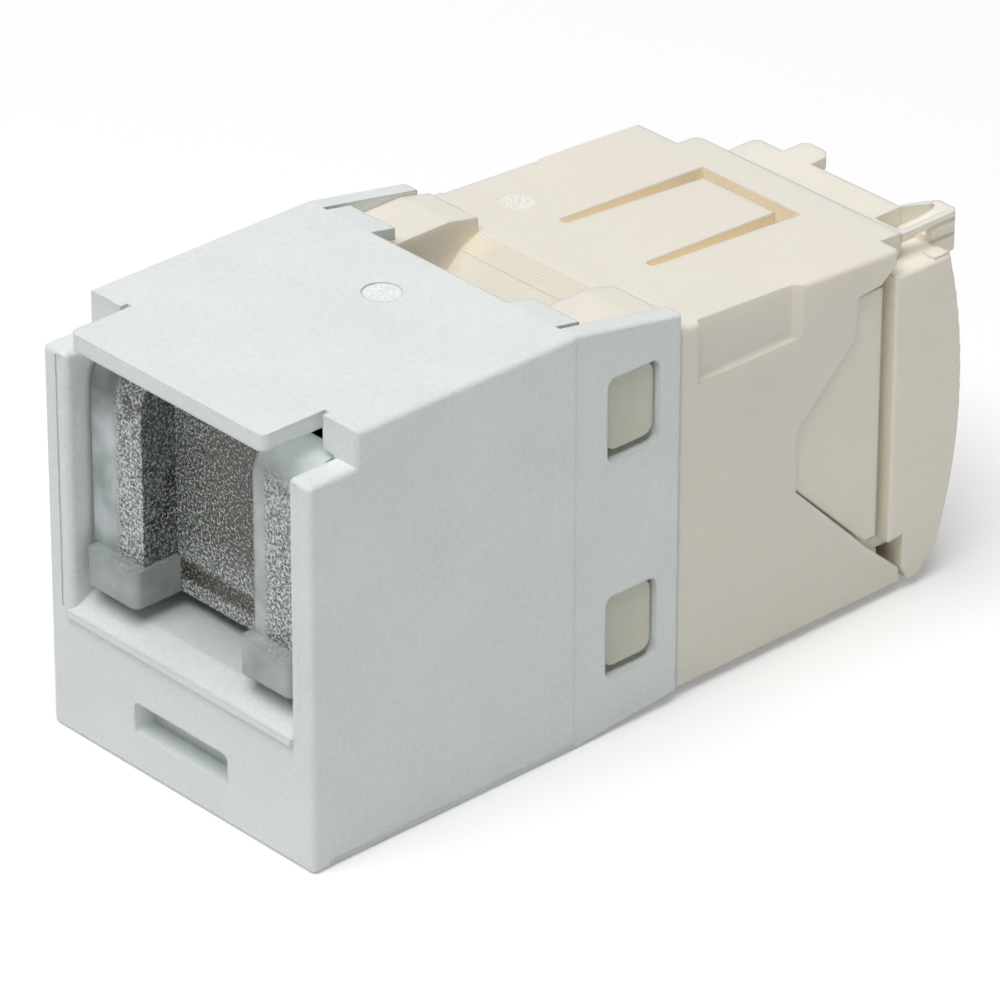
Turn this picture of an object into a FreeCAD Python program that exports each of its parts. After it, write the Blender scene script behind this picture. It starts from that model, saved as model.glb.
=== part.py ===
import FreeCAD, Part
import Sketcher
import math
import operator
import os
from types import SimpleNamespace

# Shuttered eight-way modular jack. Lengths are millimetres.
# X runs across the jack, Z up, and Y from the plug opening in front to the cable at the back.
# Every piece is drawn with y = 0 on the front face and z = 0 on the bottom of the front housing.
# A placement then moves it so that the origin is under the middle of the whole jack.

SIZES = {
    # front housing: outer shell
    "jack_width": 16.5,
    "jack_height": 19.58,
    "shell_length": 20.4,
    "plate_length": 14.4,
    "plate_thickness": 0.75,
    "rear_drop": 1.14,
    "left_wall_step": 0.7,
    "rear_lift": 0.49,
    "rear_inset": 0.04,
    "shell_rounding": 0.25,
    "shell_floor": 1.0,
    "rear_wall": 1.0,
    "parting_height": 0.36,
    "parting_depth": 0.07,
    "parting_start": 0.9,
    # front housing: plug opening, posts, sill and tongue
    "post_width": 1.4,
    "post_drop": 1.58,
    "post_rounding": 0.35,
    "shoulder_depth": 2.5,
    "shoulder_width": 2.05,
    "relief_width": 0.25,
    "relief_depth": 0.35,
    "tongue_reach": 0.45,
    "tongue_corner": 0.4,
    "sill_height": 5.95,
    "ledge_height": 6.5,
    "ledge_thickness": 0.9,
    "lead_in": 1.2,
    "post_step_width": 0.6,
    "post_step_drop": 0.2,
    "post_step_depth": 0.05,
    "bead_height": 0.36,
    "bead_reach": 0.14,
    "bead_overrun": 0.2,
    "slot_width": 5.85,
    "slot_height": 1.5,
    "slot_bottom": 1.8,
    "slot_depth": 1.15,
    "slot_corner": 0.3,
    "mark_radius": 0.85,
    "mark_position": 11.2,
    "mark_depth": 0.06,
    # front housing: cavity under the ledge and cores beside it
    "floor_window_half": 4.4,
    "floor_window_start": -15.5,
    "core_wall": 0.8,
    "core_start": 3.2,
    "rear_cavity_start": -6.75,
    # windows in the side walls and the bosses that snap into them
    "window_start": -4.18,
    "window_length": 2.9,
    "window_height": 3.9,
    "window_drop": 1.54,
    "window_rise": 2.21,
    "window_corner": 0.4,
    "boss_front_gap": 0.12,
    "boss_rear_gap": 0.1,
    "boss_drop": 0.1,
    "boss_lift": 0.38,
    "boss_corner": 0.6,
    "boss_inset": 0.3,
    # sloping tabs behind the top plate
    "tab_inset": 0.1,
    "tab_side_gap": 0.25,
    "tab_length": 1.3,
    "tab_thickness": 0.55,
    # shutter
    "pivot_depth": 2.75,
    "hub_gap": 0.2,
    "hub_radius": 1.6,
    "hub_recess_depth": 4.6,
    "axle_radius": 0.55,
    "axle_play": 0.05,
    "axle_seat": 0.85,
    "axle_end_gap": 0.1,
    "shutter_side_gap": 0.2,
    "shutter_bottom": 7.3,
    "cheek_inner": 3.45,
    "cheek_wall": 0.5,
    "cheek_depth": 1.8,
    "panel_thickness": 0.8,
    "foot_height": 1.7,
    "foot_reach": 0.7,
    "foot_shift": 0.22,
    "foot_corner": 0.35,
    # shutter springs
    "spring_wire": 0.25,
    "spring_radius": 0.87,
    "spring_turns": 2.5,
    "spring_pitch": 0.33,
    "spring_end_gap": 0.2,
    "spring_leg": 1.9,
    # contact carrier and its eight contacts
    "contact_pitch": 1.016,
    "contact_width": 0.45,
    "contact_thickness": 0.3,
    "contact_bend": 0.7,
    "contact_arm": 8.5,
    "contact_arm_angle": 30.0,
    "contact_run": 3.9,
    "contact_rise": 4.2,
    "contact_rise_start": -4.4,
    "contact_stagger": 1.2,
    "nose_depth": -14.2,
    "nose_gap": 0.06,
    "groove_width": 0.62,
    "carrier_half": 4.7,
    "carrier_gap": 0.1,
    "back_wall_front": -7.3,
    "back_wall_thickness": 1.2,
    "back_wall_gap": 0.15,
    "comb_bottom": 7.3,
    "comb_height": 3.4,
    "comb_depth": 0.75,
    # circuit board
    "board_front": 4.0,
    "board_thickness": 1.0,
    "board_lift": 0.1,
    "board_drop": 1.17,
    "board_hole": 0.3,
    "board_gap": 0.05,
    "pin_overrun": 0.3,
    # insulation-displacement contacts and their block
    "bank_gap": 0.22,
    "idc_upper_drop": 3.47,
    "idc_lower_lift": 3.55,
    "idc_width": 2.1,
    "idc_thickness": 0.5,
    "idc_base": 1.1,
    "idc_tip": 4.4,
    "idc_slot": 0.3,
    "idc_slot_depth": 2.9,
    "idc_pin": 0.4,
    "idc_mouth": 0.9,
    "block_front": 0.5,
    "block_base": 1.3,
    "block_lift": 0.2,
    "block_drop": 1.47,
    "standoff_radius": 0.6,
    "standoff_inset": 1.45,
    "bank_half": 1.75,
    "bank_tip": 4.8,
    "blade_gap": 0.06,
    "wire_slot": 0.9,
    "wire_slot_depth": 3.6,
    # rear housing
    "body_start": -5.2,
    "body_gap": 0.06,
    "body_shoulder": 0.1,
    "body_inset": 0.2,
    "body_bottom": 0.45,
    "body_end": 12.8,
    "body_wall": 0.65,
    "body_floor": 0.95,
    "front_block_bottom": 1.05,
    "front_block_wall": 0.7,
    "rail_bottom": 6.0,
    "rail_height": 5.0,
    "roof_thickness": 1.05,
    "roof_drop": 0.82,
    "roof_fall": 0.75,
    "roof_tab_left": 5.45,
    "roof_tab_gap": 0.05,
    "roof_tab_corner": 0.4,
    "body_rounding": 0.2,
    # rear housing: arms and ribbed ramp
    "arm_rise": 0.98,
    "arm_end": -1.7,
    "arm_ramp_end": -0.1,
    "arm_ramp_drop": 0.35,
    "arm_inner": 4.1,
    "arm_cap_thickness": 0.8,
    "ramp_top": -0.04,
    "ramp_break": -1.15,
    "ramp_step": 0.52,
    "ramp_foot": -3.1,
    "ramp_fall": 1.8,
    "ramp_thickness": 1.2,
    "rib_count": 8,
    "rib_height": 0.035,
    "rib_width": 0.07,
    # rear housing: latch tongue in the roof
    "latch_half": 2.42,
    "latch_slot": 0.45,
    "latch_start": 3.3,
    "latch_end": 11.25,
    "latch_gap": 0.75,
    "latch_taper": 0.24,
    "latch_flare": 0.13,
    "latch_rounding": 0.25,
    # rear housing: side recess and open-sided rear
    "recess_start": 1.1,
    "recess_end": 7.2,
    "recess_height": 2.87,
    "recess_depth": 0.3,
    "recess_front_slope": 0.2,
    "recess_rear_slope": 0.5,
    "recess_blend": 0.25,
    "notch_drop": 1.53,
    "notch_rear": 10.55,
    "notch_knee_drop": 1.79,
    "notch_front": 7.1,
    "notch_slope": 3.25,
    "notch_mouth": 3.0,
    "notch_shoulder": 11.9,
    "notch_shoulder_rise": 0.13,
    "notch_lip": 0.72,
    "notch_base": 11.5,
    "notch_base_lift": 2.45,
    "notch_toe": 13.5,
    "notch_toe_lift": 0.7,
    # wire cap
    "cap_play": 0.08,
    "skirt_start": 0.15,
    "skirt_wall": 0.8,
    "skirt_lift": 1.75,
    "skirt_drop": 0.3,
    "pad_proud": 0.43,
    "pad_gap": 0.12,
    "groove_start": 12.2,
    "groove_end": 12.65,
    "groove_depth": 0.75,
    "cap_back": 14.1,
    "cap_end": 15.9,
    "cap_step": 0.15,
    "cap_left_drop": 0.8,
    "cap_lift": 0.55,
    "flange_proud": 0.1,
    "flange_drop": 1.27,
    "flange_lift": 0.05,
    "flange_bulge": 24.0,
    "flange_throat": 13.55,
    "flange_throat_lift": 2.4,
    "flange_corner_lift": 2.3,
    "flange_knee": 15.65,
    "flange_knee_lift": 1.25,
    "flange_rim_width": 0.9,
    "flange_rim_height": 0.1,
    "flange_rounding": 0.12,
    "flange_toe": 14.55,
    "flange_heel": 13.9,
    "shelf_start": 13.1,
    "shelf_thickness": 0.7,
    "shelf_inner": 5.45,
    "plate_left": 3.7,
    "plate_right": 5.0,
    "plate_corner": 0.45,
    "lobe_left": 2.05,
    "lobe_width": 1.7,
    "lobe_end": 17.25,
    "lobe_thickness": 0.6,
    "lobe_rounding": 0.7,
    "finger_inset": 1.2,
    "finger_end": 17.55,
    "finger_height": 1.82,
    "finger_skew": 0.7,
    "finger_corner": 0.4,
    "finger_overlap": 0.06,
    "dish_gap": 0.1,
    "dish_front": 14.35,
    "dish_depth": 0.8,
    "dish_lip": 0.2,
    "dish_radius": 3.0,
    "dish_wall": 0.18,
    "rim_width": 0.35,
    "rim_thickness": 0.3,
    "rim_recess": 1.0,
    "ridge_pitch": 0.7,
    "ridge_drop": 0.37,
    "ridge_groove": 0.4,
    "ridge_depth": 0.16,
    "cable_radius": 3.9,
    "cable_rise": 0.85,
    "pusher_width": 0.7,
    "pusher_reach": 1.3,
}

# These sizes are depths measured from the rear edge of the front housing.
REAR_STATIONS = (
    "window_start", "arm_end", "arm_ramp_end", "ramp_top", "ramp_break", "ramp_foot", "body_shoulder",
    "recess_start", "recess_end", "latch_start", "latch_end", "notch_front", "notch_rear", "notch_shoulder",
    "notch_base", "notch_toe", "body_end", "board_front", "groove_start", "groove_end", "cap_back",
    "cap_end", "flange_knee", "flange_throat", "flange_heel", "flange_toe", "shelf_start", "lobe_end",
    "finger_end", "dish_front", "body_start", "rear_cavity_start", "floor_window_start", "nose_depth",
    "back_wall_front", "contact_rise_start",
)

BEND_SKEW = math.sqrt(2) - 1
CONTACT_NUMBERS = range(1, 9)

OPERATIONS = {"+": operator.add, "-": operator.sub, "*": operator.mul, "/": operator.truediv}


class Size:
    """A number together with the spreadsheet expression that gives it."""

    def __init__(self, value, text):
        self.value = value
        self.text = text

    def __add__(self, other):
        return combine(self, "+", other)

    def __radd__(self, other):
        return combine(other, "+", self)

    def __sub__(self, other):
        return combine(self, "-", other)

    def __rsub__(self, other):
        return combine(other, "-", self)

    def __mul__(self, other):
        return combine(self, "*", other)

    def __rmul__(self, other):
        return combine(other, "*", self)

    def __truediv__(self, other):
        return combine(self, "/", other)

    def __neg__(self):
        return combine(-1, "*", self)


def as_size(number):
    """Give a plain number the same form as a size from the sheet."""
    return number if isinstance(number, Size) else Size(float(number), repr(float(number)))


def combine(left, sign, right):
    """Join two sizes with an arithmetic sign, in value and in text."""
    left, right = as_size(left), as_size(right)
    return Size(OPERATIONS[sign](left.value, right.value), f"({left.text} {sign} {right.text})")


def write_sheet(document):
    """Put the driving dimensions in the document's spreadsheet and return them as sizes."""
    sheet = document.addObject("Spreadsheet::Sheet", "sizes")
    for row, (alias, value) in enumerate(SIZES.items(), start=1):
        sheet.set(f"A{row}", alias.replace("_", " "))
        sheet.set(f"B{row}", str(value))
        sheet.setAlias(f"B{row}", alias)
    document.recompute()
    return SimpleNamespace(**{alias: Size(value, f"sizes.{alias}") for alias, value in SIZES.items()})


def derive_places(s):
    """Work out depths, heights and half widths that hang on the driving dimensions."""
    for name in REAR_STATIONS:
        setattr(s, name, s.shell_length + getattr(s, name))
    s.board_back = s.board_front + s.board_thickness
    s.block_front = s.board_back + s.block_front
    s.block_back = s.block_front + s.block_base
    s.idc_base = s.block_front + s.idc_base
    s.idc_tip = s.idc_base + s.idc_tip
    s.bank_tip = s.block_back + s.bank_tip
    s.skirt_start = s.block_back + s.skirt_start

    s.shell_half = s.jack_width / 2
    s.opening_half = s.shell_half - s.post_width
    s.cavity_half = s.shell_half - s.rear_wall
    s.body_half = s.shell_half - s.body_inset
    s.body_inner = s.body_half - s.body_wall
    s.front_block_half = s.cavity_half - s.body_gap
    s.front_block_inner = s.front_block_half - s.front_block_wall
    s.skirt_half = s.body_inner - s.cap_play
    s.skirt_inner = s.skirt_half - s.skirt_wall
    s.flange_half = s.body_half + s.flange_proud
    s.finger_outer = s.flange_half - s.finger_inset
    s.block_half = s.body_inner - s.board_gap
    s.bank_width = s.skirt_inner - s.bank_gap
    s.idc_pitch = s.bank_width / 2
    s.shutter_half = s.opening_half - s.shutter_side_gap
    s.roof_tab_end = s.cap_back - s.roof_tab_gap

    s.rear_top = s.jack_height - s.rear_drop
    s.ceiling = s.jack_height - s.plate_thickness
    s.post_height = s.jack_height - s.post_drop
    s.pivot_height = s.post_height - s.hub_gap - s.hub_radius
    s.upper_window = s.rear_top - s.window_drop - s.window_height
    s.lower_window = s.rear_lift + s.window_rise
    s.roof_start_height = s.rear_top - s.roof_drop
    s.roof_end_height = s.roof_start_height - s.roof_fall
    s.arm_height = s.roof_start_height + s.arm_rise
    s.ramp_break_height = s.roof_start_height - s.ramp_step
    s.ramp_foot_height = s.ramp_break_height - s.ramp_fall
    s.recess_bottom = s.roof_start_height - s.recess_height
    s.notch_lip_height = s.roof_end_height - s.notch_lip
    s.notch_top = s.roof_end_height - s.notch_drop
    s.notch_shoulder_height = s.notch_top + s.notch_shoulder_rise
    s.notch_knee = s.notch_top - s.notch_knee_drop
    s.notch_high = s.notch_knee - s.notch_slope
    s.notch_low = s.notch_high - s.notch_mouth
    s.notch_base_height = s.body_bottom + s.notch_base_lift
    s.notch_toe_height = s.body_bottom + s.notch_toe_lift
    s.floor_top = s.body_bottom + s.body_floor
    s.board_bottom = s.floor_top + s.board_lift
    s.board_top = s.roof_end_height - s.board_drop
    s.block_bottom = s.floor_top + s.block_lift
    s.block_top = s.roof_end_height - s.block_drop
    s.idc_upper = s.roof_end_height - s.idc_upper_drop
    s.idc_lower = s.body_bottom + s.idc_lower_lift
    s.cap_top = s.roof_end_height - s.cap_step
    s.cap_bottom = s.body_bottom + s.cap_lift
    s.flange_top = s.roof_end_height - s.flange_drop
    s.flange_bottom = s.body_bottom + s.flange_lift
    s.flange_knee_height = s.body_bottom + s.flange_knee_lift
    s.flange_throat_height = s.body_bottom + s.flange_throat_lift
    s.flange_corner_height = s.body_bottom + s.flange_corner_lift
    s.cap_left_top = s.flange_top - s.cap_left_drop
    s.skirt_top = s.flange_top - s.skirt_drop
    s.skirt_bottom = s.body_bottom + s.skirt_lift
    s.finger_bottom = s.cap_top - s.finger_height
    s.cable_height = s.flange_top / 2 + s.cable_rise


# ---------------------------------------------------------------- drawing helpers

PLANE_SIDE = {"XY_Plane": 1, "XZ_Plane": -1, "YZ_Plane": 1}


def new_body(document, label):
    body = document.addObject("PartDesign::Body", label)
    body.Label = label
    return body


def bind(feature, prop, size):
    """Tie a property to its size in the sheet."""
    feature.setExpression(prop, as_size(size).text)


def in_order(first, second):
    """Give two sizes as low and high."""
    return (first, second) if first.value < second.value else (second, first)


def add_sketch(body, name, plane, level):
    """Attach a sketch to one of the body's origin planes, moved to a level on that plane's axis."""
    sketch = body.newObject("Sketcher::SketchObject", name)
    origin_plane = next(item for item in body.Origin.OriginFeatures if item.Role == plane)
    sketch.AttachmentSupport = [(origin_plane, "")]
    sketch.MapMode = "FlatFace"
    offset = PLANE_SIDE[plane] * as_size(level)
    sketch.AttachmentOffset = FreeCAD.Placement(FreeCAD.Vector(0, 0, offset.value), FreeCAD.Rotation())
    bind(sketch, "AttachmentOffset.Base.z", offset)
    return sketch


def hold(sketch, kind, element, point, size):
    """Fix one coordinate of a sketch point, or a radius, at a size."""
    size = as_size(size)
    if kind == "Radius":
        index = sketch.addConstraint(Sketcher.Constraint(kind, element, size.value))
    else:
        index = sketch.addConstraint(Sketcher.Constraint(kind, element, point, size.value))
    bind(sketch, f"Constraints[{index}]", size)


def arc_between(start, end, radius):
    """Arc from start to end, counter-clockwise for a positive radius and clockwise for a negative one."""
    chord = end - start
    half = chord.Length / 2
    left = FreeCAD.Vector(-chord.y, chord.x, 0).normalize()
    side = 1 if radius > 0 else -1
    rise = math.sqrt(max(radius * radius - half * half, 0.0))
    centre = (start + end) * 0.5 + left * (side * rise)
    first, last = (start, end) if radius > 0 else (end, start)
    angle_first = math.atan2(first.y - centre.y, first.x - centre.x)
    angle_last = math.atan2(last.y - centre.y, last.x - centre.x)
    circle = Part.Circle(centre, FreeCAD.Vector(0, 0, 1), abs(radius))
    return Part.ArcOfCircle(circle, angle_first, angle_last)


def draw_outline(sketch, corners):
    """Draw a closed outline. A corner is (u, v), or (u, v, radius) where an arc starts from it."""
    first = sketch.GeometryCount
    count = len(corners)
    places = [FreeCAD.Vector(as_size(c[0]).value, as_size(c[1]).value, 0) for c in corners]
    ends = []
    for index, corner in enumerate(corners):
        start, end = places[index], places[(index + 1) % count]
        if len(corner) == 3:
            radius = as_size(corner[2])
            sketch.addGeometry(arc_between(start, end, radius.value))
            ends.append((1, 2) if radius.value > 0 else (2, 1))
        else:
            sketch.addGeometry(Part.LineSegment(start, end))
            ends.append((1, 2))
    for index in range(count):
        after = (index + 1) % count
        joint = Sketcher.Constraint("Coincident", first + index, ends[index][1], first + after, ends[after][0])
        sketch.addConstraint(joint)
    for index, corner in enumerate(corners):
        hold(sketch, "DistanceX", first + index, ends[index][0], corner[0])
        hold(sketch, "DistanceY", first + index, ends[index][0], corner[1])
        if len(corner) == 3:
            radius = as_size(corner[2])
            hold(sketch, "Radius", first + index, 0, radius if radius.value > 0 else -radius)


def draw_circle(sketch, u, v, radius):
    """Draw a circle of the given radius about (u, v)."""
    u, v, radius = as_size(u), as_size(v), as_size(radius)
    centre = FreeCAD.Vector(u.value, v.value, 0)
    element = sketch.addGeometry(Part.Circle(centre, FreeCAD.Vector(0, 0, 1), radius.value))
    hold(sketch, "DistanceX", element, 3, u)
    hold(sketch, "DistanceY", element, 3, v)
    hold(sketch, "Radius", element, 0, radius)


def box_outline(u_low, u_high, v_low, v_high):
    return [(u_low, v_low), (u_high, v_low), (u_high, v_high), (u_low, v_high)]


def extrude(body, kind, name, plane, start, end, outlines=(), circles=()):
    """Pad or pocket outlines and circles between two levels on the plane's axis."""
    sketch = add_sketch(body, name + "_sketch", plane, start)
    for outline in outlines:
        draw_outline(sketch, outline)
    for circle in circles:
        draw_circle(sketch, *circle)
    feature = body.newObject("PartDesign::" + kind, name)
    feature.Profile = sketch
    bind(feature, "Length", as_size(end) - start)
    pad_reversed = PLANE_SIDE[plane] < 0
    feature.Reversed = pad_reversed if kind == "Pad" else not pad_reversed
    return feature


def pad(body, name, plane, start, end, *outlines):
    return extrude(body, "Pad", name, plane, start, end, outlines)


def pocket(body, name, plane, start, end, *outlines):
    return extrude(body, "Pocket", name, plane, start, end, outlines)


def near(value, targets):
    return any(abs(value - as_size(target).value) < 0.02 for target in targets)


def fillet(body, name, radius, numbers):
    """Round the edges of the body's last feature that carry the given numbers."""
    if not numbers:
        raise RuntimeError(f"{body.Label}: {name} found no edge to round")
    base = body.Tip
    feature = body.newObject("PartDesign::Fillet", name)
    feature.Base = (base, [f"Edge{number}" for number in numbers])
    bind(feature, "Radius", radius)
    return feature


def round_edges(body, name, radius, axis, **places):
    """Round the straight edges along an axis that lie at the given places on the other two axes."""
    body.Document.recompute()
    chosen = []
    for number, edge in enumerate(body.Tip.Shape.Edges, start=1):
        box = edge.BoundBox
        spans = {"x": box.XLength, "y": box.YLength, "z": box.ZLength}
        middles = {"x": box.Center.x, "y": box.Center.y, "z": box.Center.z}
        across = [key for key in "xyz" if key != axis]
        straight = spans[axis] > 0.1 and all(spans[key] < 0.001 for key in across)
        if straight and all(near(middles[key], places[key]) for key in across if key in places):
            chosen.append(number)
    return fillet(body, name, radius, chosen)


def round_sides(body, name, radius, half, **front):
    """Round every edge in the two side planes, and those in a front plane if one is given."""
    body.Document.recompute()
    chosen = []
    for number, edge in enumerate(body.Tip.Shape.Edges, start=1):
        box = edge.BoundBox
        on_side = box.XLength < 0.001 and near(abs(box.Center.x), (half,))
        on_front = box.YLength < 0.001 and "y" in front and near(box.Center.y, (front["y"],))
        if on_side or on_front:
            chosen.append(number)
    return fillet(body, name, radius, chosen)


# ---------------------------------------------------------------- front housing


def build_front_housing(document, s):
    """White shell: posts, sill and overhanging tongue in front, windowed side walls behind."""
    body = new_body(document, "front_housing")
    half, opening, ceiling = s.shell_half, s.opening_half, s.ceiling
    shoulder = half - s.shoulder_width
    tongue = shoulder - s.relief_width

    pad(body, "shell", "YZ_Plane", -half, half, [
        (0, 0), (s.plate_length, 0), (s.shell_length, s.rear_lift), (s.shell_length, s.rear_top),
        (s.plate_length, s.jack_height), (s.shoulder_depth, s.jack_height),
        (s.shoulder_depth, s.post_height), (0, s.post_height)])
    round_sides(body, "shell_edges", s.shell_rounding, half, y=0)
    for side, name in ((-1, "left"), (1, "right")):
        low, high = in_order(side * (half - s.rear_inset), side * half)
        pocket(body, f"{name}_rear_inset", "XY_Plane", 0, s.jack_height,
               box_outline(low, high, s.plate_length, s.shell_length))
    pad(body, "tongue", "XY_Plane", ceiling, s.jack_height,
        box_outline(-tongue, tongue, -s.tongue_reach, s.shoulder_depth + s.relief_depth))
    round_edges(body, "tongue_corners", s.tongue_corner, "z", x=(-tongue, tongue), y=(-s.tongue_reach,))
    for side, name in ((-1, "left"), (1, "right")):
        low, high = in_order(side * tongue, side * shoulder)
        pocket(body, f"{name}_relief", "XY_Plane", s.post_height, s.jack_height,
               box_outline(low, high, 0, s.shoulder_depth + s.relief_depth))

    cavity_end = s.back_wall_front + s.back_wall_thickness + s.back_wall_gap
    pocket(body, "plug_opening", "XZ_Plane", 0, cavity_end, box_outline(
        -opening, opening, s.ledge_height, s.post_height))
    pocket(body, "hub_recess", "XZ_Plane", 0, s.hub_recess_depth, box_outline(
        -shoulder, shoulder, s.post_height, ceiling))
    pocket(body, "sill_slope", "YZ_Plane", -opening, opening, [
        (0, s.sill_height), (s.lead_in, s.ledge_height), (0, s.ledge_height)])
    round_edges(body, "post_inner_edges", s.post_rounding, "z", x=(-opening, opening), y=(0,))
    for side, name in ((-1, "left"), (1, "right")):
        low, high = in_order(side * opening, side * (opening + s.post_step_width))
        pocket(body, f"{name}_post_step", "XZ_Plane", 0, s.post_step_depth, box_outline(
            low, high, s.sill_height, s.post_height - s.post_step_drop))
    pad(body, "sill_bead", "XZ_Plane", -s.bead_reach, 0, box_outline(
        -opening - s.bead_overrun, opening + s.bead_overrun, s.sill_height - s.bead_height, s.sill_height))
    pocket(body, "finger_slot", "XZ_Plane", 0, s.slot_depth, box_outline(
        -s.slot_width / 2, s.slot_width / 2, s.slot_bottom, s.slot_bottom + s.slot_height))
    round_edges(body, "slot_corners", s.slot_corner, "y", x=(-s.slot_width / 2, s.slot_width / 2),
                z=(s.slot_bottom, s.slot_bottom + s.slot_height))

    rear_half = s.cavity_half
    pocket(body, "rear_cavity", "XZ_Plane", s.rear_cavity_start, s.shell_length, box_outline(
        -rear_half, rear_half, s.shell_floor, s.arm_height + s.body_gap))
    pocket(body, "rear_opening", "XY_Plane", s.post_height, s.jack_height + s.plate_thickness, box_outline(
        -rear_half, rear_half, s.plate_length, s.shell_length))
    pocket(body, "left_wall_end", "XY_Plane", s.shell_floor, s.jack_height, box_outline(
        -half, -rear_half, s.shell_length - s.left_wall_step, s.shell_length))
    carrier_room = s.carrier_half + s.carrier_gap
    under_ledge = s.ledge_height - s.ledge_thickness
    pocket(body, "carrier_cavity", "XZ_Plane", s.floor_window_start, s.body_start, box_outline(
        -carrier_room, carrier_room, s.shell_floor, under_ledge))
    for side, name in ((-1, "left"), (1, "right")):
        low, high = in_order(side * (carrier_room + s.core_wall), side * opening)
        pocket(body, f"{name}_core", "XZ_Plane", s.core_start, s.body_start, box_outline(
            low, high, s.shell_floor, under_ledge))
    pocket(body, "contact_window", "XY_Plane", under_ledge, s.ledge_height, box_outline(
        -s.floor_window_half, s.floor_window_half, s.floor_window_start, cavity_end))
    extrude(body, "Pocket", "axle_bores", "YZ_Plane",
            -(opening + s.axle_seat), opening + s.axle_seat,
            circles=[(s.pivot_depth, s.pivot_height, s.axle_radius + s.axle_play)])

    windows = [box_outline(s.window_start, s.window_start + s.window_length, low, low + s.window_height)
               for low in (s.lower_window, s.upper_window)]
    pocket(body, "side_windows", "YZ_Plane", -half, half, *windows)
    round_edges(body, "window_corners", s.window_corner, "x",
                y=(s.window_start, s.window_start + s.window_length),
                z=(s.lower_window, s.lower_window + s.window_height,
                   s.upper_window, s.upper_window + s.window_height))

    slope = s.rear_drop / (s.shell_length - s.plate_length)
    for side, name in ((-1, "left"), (1, "right")):
        low, high = in_order(side * (s.arm_inner + s.tab_inset), side * (rear_half - s.tab_side_gap))
        pad(body, f"{name}_tab", "YZ_Plane", low, high, [
            (s.plate_length, s.jack_height - s.tab_thickness),
            (s.plate_length + s.tab_length, s.jack_height - s.tab_thickness - slope * s.tab_length),
            (s.plate_length + s.tab_length, s.jack_height - slope * s.tab_length),
            (s.plate_length, s.jack_height)])
        low, high = in_order(side * half, side * (half - s.parting_depth))
        pocket(body, f"{name}_parting_line", "YZ_Plane", low, high, box_outline(
            s.parting_start, s.plate_length, 0, s.parting_height))
    extrude(body, "Pocket", "gate_mark", "XY_Plane", s.jack_height - s.mark_depth, s.jack_height,
            circles=[(0, s.mark_position, s.mark_radius)])
    return body


# ---------------------------------------------------------------- shutter and its springs


def build_shutter(document, s):
    """Clear door: a panel between two forward cheeks with feet, hung on axle stubs at the top."""
    body = new_body(document, "shutter")
    outer = s.shutter_half
    front = s.pivot_depth - s.hub_radius
    panel_front = front + s.cheek_depth
    panel_back = panel_front + s.panel_thickness
    hub_top = s.pivot_height + s.hub_radius
    foot_front = front - s.foot_reach
    foot_top = s.shutter_bottom + s.foot_height

    pad(body, "cheeks_and_panel", "YZ_Plane", -outer, outer, [
        (front, s.shutter_bottom), (panel_back, s.shutter_bottom), (panel_back, s.pivot_height),
        (s.pivot_depth + s.hub_radius, s.pivot_height, s.hub_radius),
        (s.pivot_depth, hub_top, s.hub_radius), (front, s.pivot_height)])
    pocket(body, "between_cheeks", "XY_Plane", s.shutter_bottom - s.foot_height, hub_top, box_outline(
        -s.cheek_inner, s.cheek_inner, front - s.cheek_depth, panel_front))
    for side, name in ((-1, "left"), (1, "right")):
        low, high = in_order(side * (s.cheek_inner - s.foot_shift), side * (outer - s.foot_shift))
        pad(body, f"{name}_foot", "YZ_Plane", low, high, box_outline(
            foot_front, panel_front, s.shutter_bottom, foot_top))
        low, high = in_order(side * (s.cheek_inner + s.cheek_wall), side * (outer - s.cheek_wall))
        pocket(body, f"{name}_channel", "YZ_Plane", low, high, [
            (front + s.cheek_wall, foot_top + s.cheek_wall), (panel_back, foot_top + s.cheek_wall),
            (panel_back + s.hub_radius, s.pivot_height), (panel_back + s.hub_radius, hub_top - s.cheek_wall),
            (s.pivot_depth, hub_top - s.cheek_wall, s.hub_radius - s.cheek_wall),
            (front + s.cheek_wall, s.pivot_height)])
    axle_end = s.opening_half + s.axle_seat - s.axle_end_gap
    for side, name in ((-1, "left"), (1, "right")):
        low, high = in_order(side * s.cheek_inner, side * axle_end)
        extrude(body, "Pad", f"{name}_axle", "YZ_Plane", low, high,
                circles=[(s.pivot_depth, s.pivot_height, s.axle_radius)])
    foot_inner, foot_outer = s.cheek_inner - s.foot_shift, outer - s.foot_shift
    round_edges(body, "foot_corners", s.foot_corner, "z",
                x=(-foot_outer, -foot_inner, foot_inner, foot_outer), y=(foot_front,))
    return body


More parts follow.
